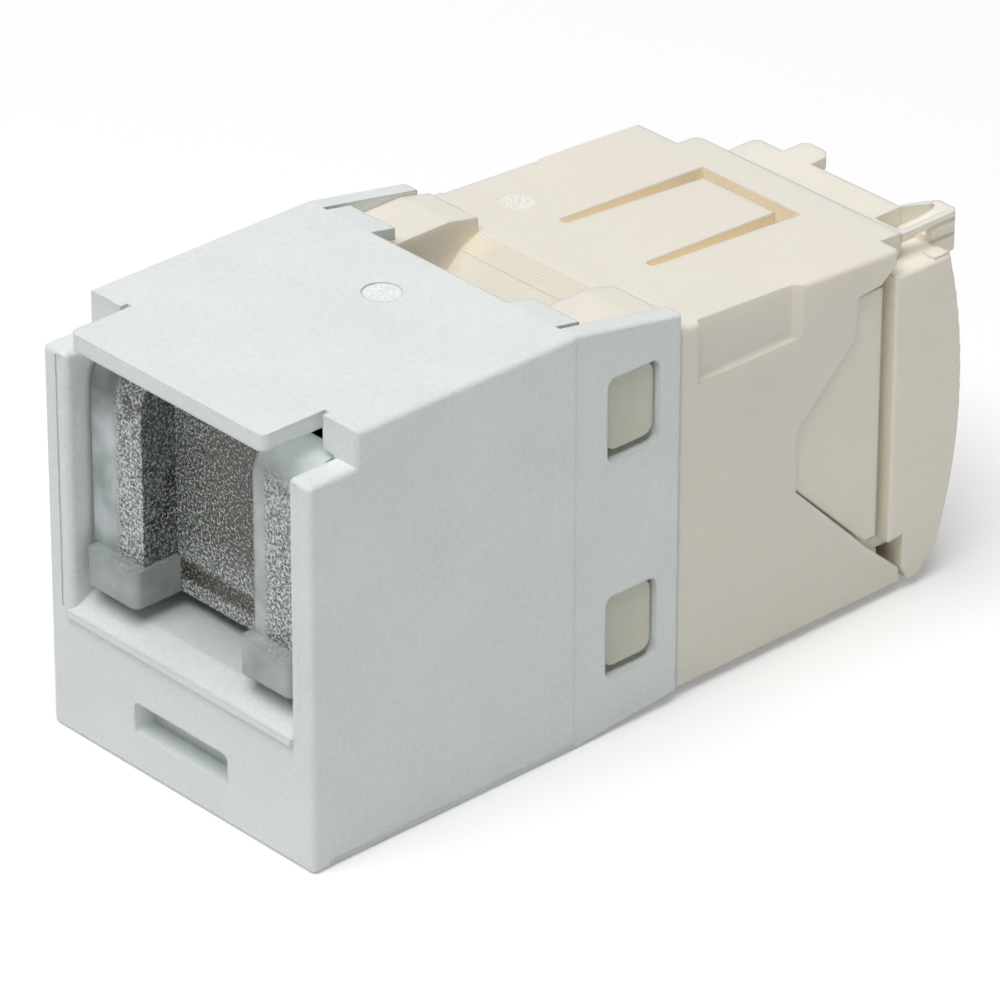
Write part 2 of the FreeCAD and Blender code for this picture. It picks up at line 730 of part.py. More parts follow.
def build_spring(document, s, name, side):
    """Small torsion spring about the axle, inside one cheek of the shutter."""
    coil_start = s.cheek_inner + s.cheek_wall + s.spring_end_gap
    body = new_body(document, name)
    coil_length = s.spring_pitch * s.spring_turns
    coil_low = coil_start if side > 0 else -(coil_start + coil_length)
    section = add_sketch(body, "wire_section", "XY_Plane", s.pivot_height)
    bind(section, "AttachmentOffset.Base.y", s.pivot_depth)
    wire = s.spring_wire / 2
    draw_outline(section, box_outline(
        coil_low - wire, coil_low + wire, s.spring_radius - wire, s.spring_radius + wire))
    coil = body.newObject("PartDesign::AdditiveHelix", "coil")
    coil.Profile = section
    coil.ReferenceAxis = (section, ["H_Axis"])
    coil.Mode = 0
    bind(coil, "Pitch", s.spring_pitch)
    bind(coil, "Height", coil_length)
    far_side = s.pivot_depth - s.spring_radius
    near_side = s.pivot_depth + s.spring_radius
    pad(body, "long_leg", "XY_Plane", s.pivot_height - s.spring_leg, s.pivot_height, box_outline(
        coil_low - wire, coil_low + wire, near_side - wire, near_side + wire))
    coil_high = coil_low + coil_length
    pad(body, "short_leg", "XY_Plane", s.pivot_height - s.spring_leg / 2, s.pivot_height, box_outline(
        coil_high - wire, coil_high + wire, far_side - wire, far_side + wire))
    return body


# ---------------------------------------------------------------- contacts and their carrier


def contact_place(s, number):
    """Position across the jack of a spring contact, numbered from the left."""
    return s.contact_pitch * (number - 4.5)


def contact_height(s, number):
    """Height at which a contact's tail meets the board; neighbours are staggered."""
    tail = s.contact_run + s.contact_rise
    return tail + s.contact_stagger if number % 2 else tail


def build_contact(document, s, number):
    """Sprung ribbon: sloping arm, bend round the carrier's nose, run below, bend up to the board."""
    body = new_body(document, f"contact_{number}")
    slope = s.contact_arm_angle
    along = Size(math.cos(math.radians(slope.value)), f"cos({slope.text})")
    up = Size(math.sin(math.radians(slope.value)), f"sin({slope.text})")
    half = s.contact_thickness / 2
    outer, inner = s.contact_bend + half, s.contact_bend - half
    bend_height = s.contact_run + s.contact_bend
    outer_top = (s.nose_depth - outer * up, bend_height + outer * along)
    inner_top = (s.nose_depth - inner * up, bend_height + inner * along)
    reach, lift = s.contact_arm * along, s.contact_arm * up
    tail_height = contact_height(s, number)
    rise_end = s.contact_rise_start + tail_height - s.contact_run
    skew = half * BEND_SKEW
    tail_end = s.board_back + s.pin_overrun
    place = contact_place(s, number)
    pad(body, "ribbon", "YZ_Plane", place - s.contact_width / 2, place + s.contact_width / 2, [
        (s.nose_depth, bend_height - outer, -outer),
        outer_top,
        (outer_top[0] + reach, outer_top[1] + lift),
        (inner_top[0] + reach, inner_top[1] + lift),
        (*inner_top, inner),
        (s.nose_depth, bend_height - inner),
        (s.contact_rise_start - skew, s.contact_run + half),
        (rise_end - skew, tail_height + half),
        (tail_end, tail_height + half),
        (tail_end, tail_height - half),
        (rise_end + skew, tail_height - half),
        (s.contact_rise_start + skew, s.contact_run - half)])
    return body


def build_contact_carrier(document, s):
    """Black insulator: grooved sled with a rounded nose, and the wall that closes the plug opening."""
    body = new_body(document, "contact_carrier")
    half = s.carrier_half
    nose = s.contact_bend - s.contact_thickness / 2 - s.nose_gap
    nose_height = s.contact_run + s.contact_bend
    sled_end = s.back_wall_front + s.back_wall_thickness
    sled_bottom = s.shell_floor + s.carrier_gap
    window_half = s.floor_window_half - s.carrier_gap
    wall_half = s.opening_half - s.back_wall_gap
    pad(body, "sled", "YZ_Plane", -half, half, [
        (s.nose_depth, sled_bottom), (sled_end, sled_bottom), (sled_end, nose_height + nose),
        (s.nose_depth, nose_height + nose, nose), (s.nose_depth - nose, nose_height, nose),
        (s.nose_depth, nose_height - nose)])
    pad(body, "neck", "XZ_Plane", s.back_wall_front, sled_end, box_outline(
        -window_half, window_half, nose_height, s.ledge_height + s.back_wall_gap))
    pad(body, "back_wall", "XZ_Plane", s.back_wall_front, sled_end, box_outline(
        -wall_half, wall_half, s.ledge_height + s.back_wall_gap, s.post_height - s.back_wall_gap))
    places = [contact_place(s, number) for number in CONTACT_NUMBERS]
    grooves = [box_outline(place - s.groove_width / 2, place + s.groove_width / 2,
                           sled_bottom, nose_height - nose) for place in places]
    pocket(body, "contact_grooves", "XZ_Plane", s.nose_depth - nose, sled_end, *grooves)
    slots = [box_outline(place - s.groove_width / 2, place + s.groove_width / 2,
                         s.comb_bottom, s.comb_bottom + s.comb_height) for place in places]
    pocket(body, "comb_slots", "XZ_Plane", s.back_wall_front, s.back_wall_front + s.comb_depth, *slots)
    return body


# ---------------------------------------------------------------- board, blades and their block


def idc_place(s, number):
    """Position across the jack and height of a blade: four in the upper row, four in the lower."""
    column = (number - 1) % 4
    return s.idc_pitch * (column - 1.5), s.idc_upper if number <= 4 else s.idc_lower


def build_circuit_board(document, s):
    """Board that joins the sprung contacts to the blades, with a slot for every pin."""
    body = new_body(document, "circuit_board")
    pad(body, "board", "XZ_Plane", s.board_front, s.board_back, box_outline(
        -s.block_half, s.block_half, s.board_bottom, s.board_top))
    places = [(contact_place(s, number), contact_height(s, number)) for number in CONTACT_NUMBERS]
    places += [idc_place(s, number) for number in CONTACT_NUMBERS]
    hole = s.board_hole
    pocket(body, "pin_slots", "XZ_Plane", s.board_front, s.board_back, *[
        box_outline(place - hole, place + hole, height - hole, height + hole) for place, height in places])
    return body


def build_idc_contact(document, s, number):
    """Forked blade that pierces a wire's insulation, with a pin through the board."""
    body = new_body(document, f"idc_contact_{number}")
    place, height = idc_place(s, number)
    half, pin, slot, mouth = s.idc_width / 2, s.idc_pin / 2, s.idc_slot / 2, s.idc_mouth / 2
    pin_tip = s.board_front - s.pin_overrun
    slot_start = s.idc_tip - s.idc_slot_depth
    pad(body, "blade", "XY_Plane", height - s.idc_thickness / 2, height + s.idc_thickness / 2, [
        (place - pin, pin_tip), (place + pin, pin_tip), (place + pin, s.idc_base),
        (place + half, s.idc_base), (place + half, s.idc_tip), (place + mouth, s.idc_tip),
        (place + slot, s.idc_tip - mouth), (place + slot, slot_start),
        (place - slot, slot_start), (place - slot, s.idc_tip - mouth), (place - mouth, s.idc_tip),
        (place - half, s.idc_tip), (place - half, s.idc_base), (place - pin, s.idc_base)])
    return body


def build_idc_block(document, s):
    """Plate behind the board with two banks of slotted towers that hold the blades."""
    body = new_body(document, "idc_block")
    bank = s.bank_width
    pad(body, "base", "XZ_Plane", s.block_front, s.block_back, box_outline(
        -s.block_half, s.block_half, s.block_bottom, s.block_top))
    rows = (("lower", s.idc_lower), ("upper", s.idc_upper))
    pad(body, "banks", "XZ_Plane", s.block_back, s.bank_tip, *[
        box_outline(-bank, bank, height - s.bank_half, height + s.bank_half) for _, height in rows])
    middle = (s.idc_lower + s.idc_upper) / 2
    standoff = s.block_half - s.standoff_inset
    extrude(body, "Pad", "standoffs", "XZ_Plane", s.board_back + s.board_gap, s.block_front,
            circles=[(-standoff, middle, s.standoff_radius), (standoff, middle, s.standoff_radius)])
    places = [idc_place(s, number) for number in CONTACT_NUMBERS]
    pin, blade = s.idc_pin / 2 + s.blade_gap, s.idc_width / 2 + s.blade_gap
    thick = s.idc_thickness / 2 + s.blade_gap
    pocket(body, "pin_slots", "XZ_Plane", s.block_front, s.idc_base, *[
        box_outline(place - pin, place + pin, height - thick, height + thick) for place, height in places])
    pocket(body, "blade_slots", "XZ_Plane", s.idc_base - s.blade_gap, s.bank_tip, *[
        box_outline(place - blade, place + blade, height - thick, height + thick)
        for place, height in places])
    wire = s.wire_slot / 2
    for row, height in rows:
        low, high = height - s.bank_half, height + s.bank_half
        pocket(body, f"{row}_wire_slots", "XY_Plane", low, high, *[
            box_outline(idc_place(s, number)[0] - wire, idc_place(s, number)[0] + wire,
                        s.bank_tip - s.wire_slot_depth, s.bank_tip) for number in range(1, 5)])
    return body


# ---------------------------------------------------------------- rear housing


def roof_height(s, depth):
    """Height of the rear housing's gently falling roof at a depth along the jack."""
    fall = (s.roof_start_height - s.roof_end_height) / (s.body_end - s.body_shoulder)
    return s.roof_start_height - fall * (depth - s.body_shoulder)


def build_rear_housing(document, s):
    """Cream tube that snaps into the shell: arms, ribbed ramp, latch tongue, open-sided rear."""
    body = new_body(document, "rear_housing")
    half, inner = s.body_half, s.body_inner
    block, block_inner = s.front_block_half, s.front_block_inner
    tab_end = s.roof_tab_end

    pad(body, "tube", "YZ_Plane", -half, half, [
        (s.body_shoulder, s.body_bottom), (s.notch_toe + s.body_gap, s.body_bottom),
        (s.notch_toe, s.notch_toe_height), (s.notch_base, s.notch_base_height),
        (s.notch_front, s.notch_low), (s.notch_front, s.notch_high), (s.notch_rear, s.notch_knee),
        (s.notch_rear, s.notch_top), (s.notch_shoulder, s.notch_shoulder_height),
        (s.body_end, s.notch_lip_height), (s.body_end, s.roof_end_height),
        (s.body_shoulder, s.roof_start_height)])
    round_sides(body, "tube_edges", s.body_rounding, half)
    pad(body, "roof_tab", "YZ_Plane", -s.roof_tab_left, s.finger_outer, [
        (s.body_shoulder + s.body_wall, s.roof_start_height - s.roof_thickness),
        (tab_end, roof_height(s, tab_end) - s.roof_thickness),
        (tab_end, roof_height(s, tab_end)), (s.body_end, s.roof_end_height),
        (s.body_shoulder + s.body_wall, roof_height(s, s.body_shoulder + s.body_wall))])
    round_edges(body, "roof_tab_corner_edge", s.roof_tab_corner, "z", x=(-s.roof_tab_left,), y=(tab_end,))
    pad(body, "front_block", "YZ_Plane", -block, block, [
        (s.body_start, s.front_block_bottom), (s.body_shoulder, s.front_block_bottom),
        (s.body_shoulder, s.roof_start_height), (s.arm_ramp_end, s.roof_start_height),
        (s.arm_ramp_end, s.arm_height - s.arm_ramp_drop), (s.arm_end, s.arm_height),
        (s.body_start, s.arm_height)])
    foot_slope_height = s.ramp_foot_height - (s.ramp_foot - s.body_start)
    pocket(body, "well", "YZ_Plane", -s.arm_inner, s.arm_inner, [
        (s.body_start, foot_slope_height), (s.ramp_foot, s.ramp_foot_height),
        (s.ramp_break, s.ramp_break_height), (s.ramp_top, s.roof_start_height),
        (s.ramp_top, s.jack_height), (s.body_start, s.jack_height)])
    pocket(body, "inside_front", "YZ_Plane", -block_inner, block_inner, [
        (s.body_start, s.front_block_bottom + s.front_block_wall),
        (s.body_shoulder, s.front_block_bottom + s.front_block_wall),
        (s.body_shoulder, s.roof_start_height - s.ramp_thickness),
        (s.ramp_break + s.ramp_thickness / 2, s.ramp_break_height - s.ramp_thickness),
        (s.ramp_foot + s.ramp_thickness / 2, s.ramp_foot_height - s.ramp_thickness),
        (s.body_start, foot_slope_height - s.ramp_thickness)])
    pocket(body, "inside", "YZ_Plane", -inner, inner, [
        (s.body_shoulder, s.floor_top), (tab_end, s.floor_top),
        (tab_end, roof_height(s, tab_end) - s.roof_thickness),
        (s.body_shoulder, s.roof_start_height - s.roof_thickness)])
    for side, name in ((-1, "left"), (1, "right")):
        low, high = in_order(side * (s.arm_inner + s.front_block_wall), side * block_inner)
        pocket(body, f"{name}_arm_core", "XZ_Plane", s.body_start, s.ramp_break, box_outline(
            low, high, foot_slope_height - s.ramp_thickness / 2, s.arm_height - s.arm_cap_thickness))
        low, high = in_order(side * block_inner, side * (inner + s.body_wall / 2))
        pad(body, f"{name}_board_rail", "XZ_Plane", s.body_shoulder,
            s.board_front - s.board_gap, box_outline(
                low, high, s.rail_bottom, s.rail_bottom + s.rail_height))
        floor = side * (half - s.recess_depth)
        pocket(body, f"{name}_recess", "XY_Plane", s.recess_bottom, s.jack_height, [
            (side * half, s.recess_start), (floor, s.recess_start + s.recess_front_slope),
            (floor, s.recess_end - s.recess_rear_slope), (side * half, s.recess_end)])
        round_edges(body, f"{name}_recess_blend", s.recess_blend, "y", x=(floor,), z=(s.recess_bottom,))

    boss_front = s.window_start + s.boss_front_gap
    boss_rear = s.window_start + s.window_length - s.boss_rear_gap
    boss_side = s.shell_half - s.boss_inset
    bosses = [box_outline(boss_front, boss_rear, low + s.boss_lift, low + s.window_height - s.boss_drop)
              for low in (s.lower_window, s.upper_window)]
    pad(body, "right_bosses", "YZ_Plane", block_inner, boss_side, *bosses)
    pad(body, "left_bosses", "YZ_Plane", -boss_side, -block_inner, *bosses)
    round_edges(body, "boss_corners", s.boss_corner, "x", y=(boss_front, boss_rear),
                z=[low + lift for low in (s.lower_window, s.upper_window)
                   for lift in (s.boss_lift, s.window_height - s.boss_drop)])

    run = (s.ramp_top - s.ramp_break) / s.rib_count
    climb = (s.roof_start_height - s.ramp_break_height) / s.rib_count
    ribs = []
    for number in range(round(s.rib_count.value)):
        foot, height = s.ramp_break + run * number, s.ramp_break_height + climb * number
        ribs.append([(foot, height - s.rib_height), (foot + s.rib_width, height - s.rib_height),
                     (foot + s.rib_width, height + s.rib_height + climb / 2),
                     (foot, height + s.rib_height)])
    pad(body, "ramp_ribs", "YZ_Plane", -s.arm_inner, s.arm_inner, *ribs)

    slot_outer = s.latch_half + s.latch_slot
    slot_flared = slot_outer + s.latch_flare
    slot_front = s.latch_start + s.latch_slot / 2
    slot_end = s.latch_end + s.latch_gap
    pocket(body, "latch_slot", "XY_Plane", s.roof_end_height - 2 * s.roof_thickness, s.jack_height, [
        (-slot_flared, slot_end), (-slot_outer, slot_front, s.latch_rounding),
        (-s.latch_half, slot_front), (s.latch_taper - s.latch_half, s.latch_end),
        (s.latch_half - s.latch_taper, s.latch_end), (s.latch_half, slot_front, s.latch_rounding),
        (slot_outer, slot_front), (slot_flared, slot_end)])
    return body


# ---------------------------------------------------------------- wire cap


def build_wire_cap(document, s):
    """Cream cap that presses the wires home: end wall, skirts, side flanges, lobe and finger."""
    body = new_body(document, "wire_cap")
    skirt, skirt_inner = s.skirt_half, s.skirt_inner
    pad(body, "end_wall", "XZ_Plane", s.cap_back, s.cap_end, [
        (-skirt, s.cap_bottom), (skirt, s.cap_bottom), (skirt, s.flange_top),
        (s.plate_right, s.flange_top), (s.plate_right, s.cap_top), (-s.plate_left, s.cap_top),
        (-s.plate_left, s.cap_left_top), (-skirt, s.cap_left_top)])
    pad(body, "right_skirt", "XZ_Plane", s.skirt_start, s.cap_back, box_outline(
        skirt_inner, skirt, s.skirt_bottom, s.skirt_top))
    pad(body, "left_skirt", "XZ_Plane", s.skirt_start, s.cap_back, box_outline(
        -skirt, -skirt_inner, s.skirt_bottom, s.cap_left_top))
    flanges = ((-1, "left", s.cap_left_top), (1, "right", s.flange_top))
    for side, name, top in flanges:
        low, high = in_order(side * skirt_inner, side * s.flange_half)
        pad(body, f"{name}_flange", "YZ_Plane", low, high, [
            (s.groove_end, s.flange_corner_height), (s.flange_throat, s.flange_throat_height),
            (s.flange_throat, s.notch_toe_height), (s.flange_heel, s.flange_bottom),
            (s.flange_toe, s.flange_bottom), (s.flange_knee, s.flange_knee_height, s.flange_bulge),
            (s.cap_end, top), (s.groove_end, top)])
    round_sides(body, "flange_edges", s.flange_rounding, s.flange_half)
    for side, name, top in flanges:
        low, high = in_order(side * skirt, side * (s.flange_half - s.flange_rounding))
        pad(body, f"{name}_flange_rim", "XZ_Plane", s.cap_end - s.flange_rim_width, s.cap_end, box_outline(
            low, high, top, top + s.flange_rim_height))
        low, high = in_order(side * skirt, side * (skirt + s.pad_proud))
        gap = s.pad_gap
        pad(body, f"{name}_pad", "YZ_Plane", low, high, [
            (s.notch_front + gap, s.notch_low), (s.notch_base, s.notch_base_height + 2 * gap),
            (s.groove_start, s.notch_base_height + 2 * gap),
            (s.groove_start, s.notch_top - gap), (s.notch_rear + gap, s.notch_top - gap),
            (s.notch_rear + gap, s.notch_knee - gap), (s.notch_front + gap, s.notch_high - gap)])
        groove_floor = skirt + s.pad_proud - s.groove_depth
        low, high = in_order(side * groove_floor, side * skirt)
        pocket(body, f"{name}_groove", "YZ_Plane", low, high, box_outline(
            s.groove_start, s.groove_end, s.flange_corner_height, s.skirt_top))
    pad(body, "shelf", "XZ_Plane", s.shelf_start, s.cap_back, box_outline(
        s.shelf_inner, skirt, s.flange_top - s.shelf_thickness, s.flange_top))
    extrude(body, "Pocket", "cable_hole", "XZ_Plane", s.cap_back, s.cap_end,
            circles=[(0, s.cable_height, s.cable_radius)])
    pushers = []
    for number in CONTACT_NUMBERS:
        place, height = idc_place(s, number)
        reach = s.bank_half - s.wire_slot / 2
        pushers.append(box_outline(place - s.pusher_width / 2, place + s.pusher_width / 2,
                                   height - reach, height + reach))
    pad(body, "pushers", "XZ_Plane", s.cap_back - s.pusher_reach, s.cap_back, *pushers)

    round_edges(body, "plate_corner_edge", s.plate_corner, "z", x=(-s.plate_left,), y=(s.cap_end,))
    lobe_right = s.lobe_width - s.lobe_left
    pad(body, "lobe", "XY_Plane", s.cap_top - s.lobe_thickness, s.cap_top, box_outline(
        -s.lobe_left, lobe_right, s.cap_end, s.lobe_end))
    round_edges(body, "lobe_left_corner", s.finger_corner, "z", x=(-s.lobe_left,), y=(s.lobe_end,))
    round_edges(body, "lobe_right_corner", s.lobe_rounding, "z", x=(lobe_right,), y=(s.lobe_end,))
    add_finger(body, s)
    return body


def add_finger(body, s):
    """Grip at the right of the cap: a dished top with a rim, and ridges along the outer face."""
    inner, outer = s.plate_right - s.finger_overlap, s.finger_outer
    rear_inner = inner + s.finger_skew
    pad(body, "finger", "XY_Plane", s.finger_bottom, s.cap_top, [
        (inner, s.cap_back), (outer, s.cap_back), (outer, s.finger_end), (rear_inner, s.finger_end),
        (inner, s.cap_end)])
    round_edges(body, "finger_corners", s.finger_corner, "z", x=(rear_inner, outer), y=(s.finger_end,))
    rim_bottom = s.cap_top - s.rim_thickness
    pocket(body, "rim_undercut", "XZ_Plane", s.cap_back, s.cap_end, box_outline(
        outer - s.rim_recess, outer, s.flange_top, rim_bottom))
    dish_bottom = s.cap_top - s.dish_depth
    pocket(body, "dish", "YZ_Plane", s.plate_right + s.dish_gap, outer - s.rim_width, [
        (s.dish_front, s.cap_top), (s.dish_front, dish_bottom, s.dish_radius),
        (s.finger_end - s.dish_lip, s.cap_top)])
    wall_end = s.finger_end - s.finger_corner
    pad(body, "dish_side", "XY_Plane", s.finger_bottom, s.cap_top, [
        (inner, s.cap_end), (inner + s.dish_wall, s.cap_end), (rear_inner + s.dish_wall, wall_end),
        (rear_inner - s.finger_skew * s.finger_corner / (s.finger_end - s.cap_end), wall_end)])
    ridges = []
    for number in range(2):
        middle = s.cap_top - s.ridge_drop - s.ridge_pitch * number
        ridges.append([(outer, middle - s.ridge_groove / 2), (outer, middle + s.ridge_groove / 2),
                       (outer - s.ridge_depth, middle)])
    pocket(body, "ridges", "XZ_Plane", s.cap_end, s.finger_end, *ridges)


# ---------------------------------------------------------------- assembly and export


def check_document(document, bodies):
    """Stop if any feature failed, any pocket added material, or any piece is not one sound solid."""
    for item in document.Objects:
        if "Invalid" in item.State or "Error" in item.State:
            raise RuntimeError(f"{item.Name} is {item.State}")
    for body in bodies:
        before = 0.0
        for feature in body.Group:
            if feature.TypeId == "Sketcher::SketchObject":
                continue
            after = feature.Shape.Volume
            grew = after > before + 1e-9
            if feature.TypeId in ("PartDesign::Pad", "PartDesign::Pocket"):
                if grew != (feature.TypeId == "PartDesign::Pad"):
                    raise RuntimeError(f"{body.Label}: {feature.Name} changed nothing or the wrong way")
            before = after
        if body.Shape.isNull() or not body.Shape.isValid() or len(body.Shape.Solids) != 1:
            raise RuntimeError(f"{body.Label} is not one valid solid")


def main():
    document = FreeCAD.newDocument("shuttered_jack")
    s = write_sheet(document)
    derive_places(s)
    bodies = [build_front_housing(document, s), build_rear_housing(document, s),
              build_shutter(document, s),
              build_spring(document, s, "shutter_spring_left", -1),
              build_spring(document, s, "shutter_spring_right", 1),
              build_contact_carrier(document, s), build_circuit_board(document, s),
              build_idc_block(document, s), build_wire_cap(document, s)]
    bodies += [build_contact(document, s, number) for number in CONTACT_NUMBERS]
    bodies += [build_idc_contact(document, s, number) for number in CONTACT_NUMBERS]
    middle = (s.finger_end - s.tongue_reach) / 2
    for body in bodies:
        bind(body, "Placement.Base.y", -middle)
    document.recompute()
    check_document(document, bodies)
    os.makedirs("parts", exist_ok=True)
    for body in bodies:
        body.Shape.exportStep(f"parts/{body.Label}.step")
    return bodies


main()
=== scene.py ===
"""Looks, camera and studio of the keystone jack, in metres. Every shape comes from the CAD frame."""

import math

import bpy
from mathutils import Matrix, Vector

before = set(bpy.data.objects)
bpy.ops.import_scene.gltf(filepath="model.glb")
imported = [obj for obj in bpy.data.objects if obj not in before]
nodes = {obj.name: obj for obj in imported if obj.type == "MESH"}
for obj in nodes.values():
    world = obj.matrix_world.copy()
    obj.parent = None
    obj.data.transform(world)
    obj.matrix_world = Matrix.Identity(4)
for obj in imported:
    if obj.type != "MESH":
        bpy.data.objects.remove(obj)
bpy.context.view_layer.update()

MM = 0.001
CONTACTS = [f"contact_{number}" for number in range(1, 9)]
BLADES = [f"idc_contact_{number}" for number in range(1, 9)]

# Places on the pieces, which follow the sizes in the CAD source.
EDGE_RADIUS = 0.16 * MM
WHITE_MARK = (0, -7.55 * MM, 0.82 * MM)  # round ejector mark on the white top: x, y and radius
CREAM_MARK = (-5.16 * MM, 4.83 * MM, 0.85 * MM)  # the like mark on the cream roof
BOSS_SIDE = 7.8 * MM  # ahead of BOSS_REAR, only the faces of the snap bosses stand this far out
BOSS_FRONT, BOSS_REAR = -2.41 * MM, 0.27 * MM
SLOT_SIDE, SLOT_REAR, SLOT_BOTTOM = 6.5 * MM, 14.0 * MM, 13.0 * MM  # bounds of the slot in the cream roof
CHEEK_INNER = 3.45 * MM  # inner side of the shutter's cheeks
PANEL_FRONT = -15.8 * MM
FOOT_TOP = 9.0 * MM

# Noise scales: the larger the number, the finer the noise.
CLOUDS, BLOTCHES, PATCHES = 260, 620, 1300
SPECKS, PEBBLES, FINE_PEBBLES = 7500, 7600, 15000

# Noise scale and depth of the grain of a surface.
FINE_GRAIN = (9000, 0.004 * MM)
LEATHERY_GRAIN = (5600, 0.02 * MM)
METAL_GRAIN = (4000, 0.002 * MM)

# Colour ramps of the shutter's pebbled parts, from the pits to painted glints.
SPARKLING = ((0.38, (0.028, 0.034, 0.025)), (0.46, (0.1, 0.112, 0.088)), (0.51, (0.2, 0.215, 0.185)),
             (0.55, (0.4, 0.42, 0.39)), (0.6, (0.95, 0.97, 0.95)))
DUSKY = ((0.38, (0.022, 0.022, 0.017)), (0.47, (0.085, 0.084, 0.066)), (0.52, (0.17, 0.165, 0.14)),
         (0.57, (0.38, 0.37, 0.34)), (0.62, (0.85, 0.85, 0.82)))
FROSTED = ((0.39, (0.08, 0.09, 0.085)), (0.46, (0.25, 0.28, 0.265)), (0.51, (0.45, 0.485, 0.47)),
           (0.57, (0.95, 0.98, 0.98)))
SHADED = ((0.38, (0.04, 0.048, 0.042)), (0.48, (0.145, 0.165, 0.148)), (0.54, (0.27, 0.3, 0.275)),
          (0.61, (0.62, 0.65, 0.62)))
BROWN = ((0.4, (0.012, 0.009, 0.005)), (0.5, (0.06, 0.048, 0.03)), (0.56, (0.2, 0.18, 0.14)),
         (0.62, (0.6, 0.58, 0.53)))
BLACK = ((0.42, (0.006, 0.006, 0.006)), (0.53, (0.06, 0.064, 0.06)), (0.6, (0.8, 0.82, 0.82)))

# Colour ramps of its smooth parts, which vary in large soft blotches.
SMOOTH = ((0.35, (0.46, 0.53, 0.52)), (0.65, (0.74, 0.8, 0.81)))
# Painted dark of what shows through the left hub.
DARK_SEEN_THROUGH = ((0.35, (0.05, 0.042, 0.038)), (0.65, (0.16, 0.15, 0.145)))
MILKY = ((0.35, (0.37, 0.42, 0.40)), (0.65, (0.53, 0.58, 0.565)))

# ---------------------------------------------------------------- shading


class Shading:
    """The node tree of a material or a world, with a short name for each node that the looks need.

    A value given to a node is linked if it is a socket, and set if it is a number or a colour.
    """

    def __init__(self, owner, output_kind):
        owner.use_nodes = True
        self.tree = owner.node_tree
        self.tree.nodes.clear()
        self.output = self.tree.nodes.new(output_kind)

    def feed(self, node, inputs):
        """Link or set inputs of a node, each by its socket's name or number."""
        for socket, value in inputs.items():
            if isinstance(value, bpy.types.NodeSocket):
                self.tree.links.new(value, node.inputs[socket])
            else:
                node.inputs[socket].default_value = value

    def add(self, kind, inputs=None, **properties):
        """Add a node and return its outputs."""
        node = self.tree.nodes.new(kind)
        for name, value in properties.items():
            setattr(node, name, value)
        self.feed(node, inputs or {})
        return node.outputs

    def math(self, operation, *values):
        return self.add("ShaderNodeMath", dict(enumerate(values)), operation=operation)["Value"]

    def product(self, first, *others):
        for other in others:
            first = self.math("MULTIPLY", first, other)
        return first

    def largest(self, first, *others):
        for other in others:
            first = self.math("MAXIMUM", first, other)
        return first

    def fade(self, value, low, high):
        """0 at low and 1 at high, clamped; low may be the larger."""
        return self.add("ShaderNodeMapRange", {"Value": value, "From Min": low, "From Max": high})["Result"]

    def band(self, value, low, high, soft):
        """1 between low and high, falling to 0 over a soft margin."""
        return self.product(self.fade(value, low - soft, low + soft),
                            self.fade(value, high + soft, high - soft))

    def split(self, vector):
        parts = self.add("ShaderNodeSeparateXYZ", {"Vector": vector})
        return parts["X"], parts["Y"], parts["Z"]

    def place(self):
        """Point on the surface, in metres and fixed to the piece."""
        return self.add("ShaderNodeTexCoord")["Object"]

    def facing(self):
        """Direction of the surface, fixed to the piece."""
        return self.add("ShaderNodeTexCoord")["Normal"]

    def noise(self, scale, detail=2.0):
        inputs = {"Vector": self.place(), "Scale": scale, "Detail": detail}
        return self.add("ShaderNodeTexNoise", inputs)["Fac"]

    def ramp(self, factor, *stops):
        """Colour ramp through (position, colour) stops."""
        node = self.tree.nodes.new("ShaderNodeValToRGB")
        elements = node.color_ramp.elements
        elements[0].position, elements[0].color = stops[0][0], (*stops[0][1], 1)
        elements[1].position, elements[1].color = stops[-1][0], (*stops[-1][1], 1)
        for position, color in stops[1:-1]:
            elements.new(position).color = (*color, 1)
        self.feed(node, {"Fac": factor})
        return node.outputs["Color"]

    def mix(self, factor, first, second):
        """The first colour at factor 0 and the second at 1."""
        factor_input, first_input, second_input, color_output = 0, 6, 7, 2
        inputs = {factor_input: factor, first_input: first, second_input: second}
        return self.add("ShaderNodeMix", inputs, data_type="RGBA")[color_output]

    def soft_edges(self):
        """Normal that rounds off every edge by a small moulded radius."""
        return self.add("ShaderNodeBevel", {"Radius": EDGE_RADIUS}, samples=4)["Normal"]

    def bump(self, height, depth, base=None):
        """Normal of a relief of that depth, laid over the base normal where one is given."""
        inputs = {"Height": height, "Distance": depth}
        if base is not None:
            inputs["Normal"] = base
        return self.add("ShaderNodeBump", inputs)["Normal"]

    def seen_directly(self):
        """1 for camera, glossy and transmission rays, which show the plain white background."""
        path = self.add("ShaderNodeLightPath")
        return self.largest(path["Is Camera Ray"], path["Is Glossy Ray"], path["Is Transmission Ray"])


class Finish(Shading):
    """A new material with one Principled shader."""

    def __init__(self, name):
        self.material = bpy.data.materials.new(name)
        super().__init__(self.material, "ShaderNodeOutputMaterial")
        self.shader = self.tree.nodes.new("ShaderNodeBsdfPrincipled")
        self.feed(self.output, {"Surface": self.shader.outputs["BSDF"]})

    def surface(self, inputs):
        """Link or set inputs of the Principled shader."""
        self.feed(self.shader, inputs)


# ---------------------------------------------------------------- mouldings and metal


